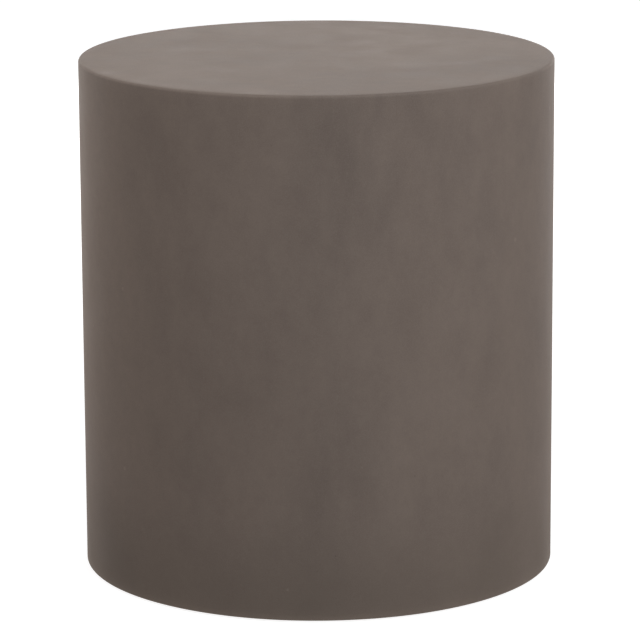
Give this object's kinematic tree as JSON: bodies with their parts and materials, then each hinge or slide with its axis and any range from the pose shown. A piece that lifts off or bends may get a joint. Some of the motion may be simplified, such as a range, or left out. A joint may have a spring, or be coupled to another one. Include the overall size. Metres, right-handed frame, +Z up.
{
  "type": "round side table",
  "caption": "Round drum side table: a hollow concrete cylinder with a flat top, closed underneath by a recessed board that stands on screw levellers.",
  "frame": {"origin": "on the floor, under the middle of the table, with every leveller screwed right in", "axes": "+Z up along the drum's axis; the board's screws lie on +X, +Y, -X and -Y, and the levellers half way between them"},
  "size_m": [0.42, 0.4199, 0.457],
  "materials": {
    "concrete": "matte",
    "plywood": "matte",
    "turned_brass": "satin",
    "zinc_plated_steel": "satin",
    "moulded_nylon": "matte",
    "sole_rubber": "matte"
  },
  "bodies": {
    "drum": {"drum_shell": "concrete", "base_board": "plywood", "board_insert_1": "turned_brass", "board_insert_2": "turned_brass", "board_insert_3": "turned_brass", "board_insert_4": "turned_brass", "board_screw_1": "zinc_plated_steel", "board_screw_2": "zinc_plated_steel", "board_screw_3": "zinc_plated_steel", "board_screw_4": "zinc_plated_steel", "tee_nut_1": "zinc_plated_steel", "tee_nut_2": "zinc_plated_steel", "tee_nut_3": "zinc_plated_steel", "tee_nut_4": "zinc_plated_steel"},
    "foot_1": {"leveller_foot_1": "moulded_nylon", "leveller_sole_1": "sole_rubber"},
    "stud_1": {"leveller_stud_1": "zinc_plated_steel"},
    "foot_2": {"leveller_foot_2": "moulded_nylon", "leveller_sole_2": "sole_rubber"},
    "stud_2": {"leveller_stud_2": "zinc_plated_steel"},
    "foot_3": {"leveller_foot_3": "moulded_nylon", "leveller_sole_3": "sole_rubber"},
    "stud_3": {"leveller_stud_3": "zinc_plated_steel"},
    "foot_4": {"leveller_foot_4": "moulded_nylon", "leveller_sole_4": "sole_rubber"},
    "stud_4": {"leveller_stud_4": "zinc_plated_steel"}
  },
  "joints": [
    {"name": "foot_1_height", "type": "slide", "parent": "drum", "child": "foot_1", "axis": [0, 0, -1], "range_m": [0, 0.01]},
    {"name": "stud_1_turn", "type": "hinge", "parent": "foot_1", "child": "stud_1", "pos_m": [0.11314, 0.11314, 0], "axis": [0, 0, -1], "range_deg": [0, 2880]},
    {"name": "foot_2_height", "type": "slide", "parent": "drum", "child": "foot_2", "axis": [0, 0, -1], "range_m": [0, 0.01]},
    {"name": "stud_2_turn", "type": "hinge", "parent": "foot_2", "child": "stud_2", "pos_m": [-0.11314, 0.11314, 0], "axis": [0, 0, -1], "range_deg": [0, 2880]},
    {"name": "foot_3_height", "type": "slide", "parent": "drum", "child": "foot_3", "axis": [0, 0, -1], "range_m": [0, 0.01]},
    {"name": "stud_3_turn", "type": "hinge", "parent": "foot_3", "child": "stud_3", "pos_m": [-0.11314, -0.11314, 0], "axis": [0, 0, -1], "range_deg": [0, 2880]},
    {"name": "foot_4_height", "type": "slide", "parent": "drum", "child": "foot_4", "axis": [0, 0, -1], "range_m": [0, 0.01]},
    {"name": "stud_4_turn", "type": "hinge", "parent": "foot_4", "child": "stud_4", "pos_m": [0.11314, -0.11314, 0], "axis": [0, 0, -1], "range_deg": [0, 2880]}
  ],
  "couplings": [
    {"joint": "stud_1_turn", "follows": "foot_1_height", "rad_per_m": 5026.5},
    {"joint": "stud_2_turn", "follows": "foot_2_height", "rad_per_m": 5026.5},
    {"joint": "stud_3_turn", "follows": "foot_3_height", "rad_per_m": 5026.5},
    {"joint": "stud_4_turn", "follows": "foot_4_height", "rad_per_m": 5026.5}
  ]
}
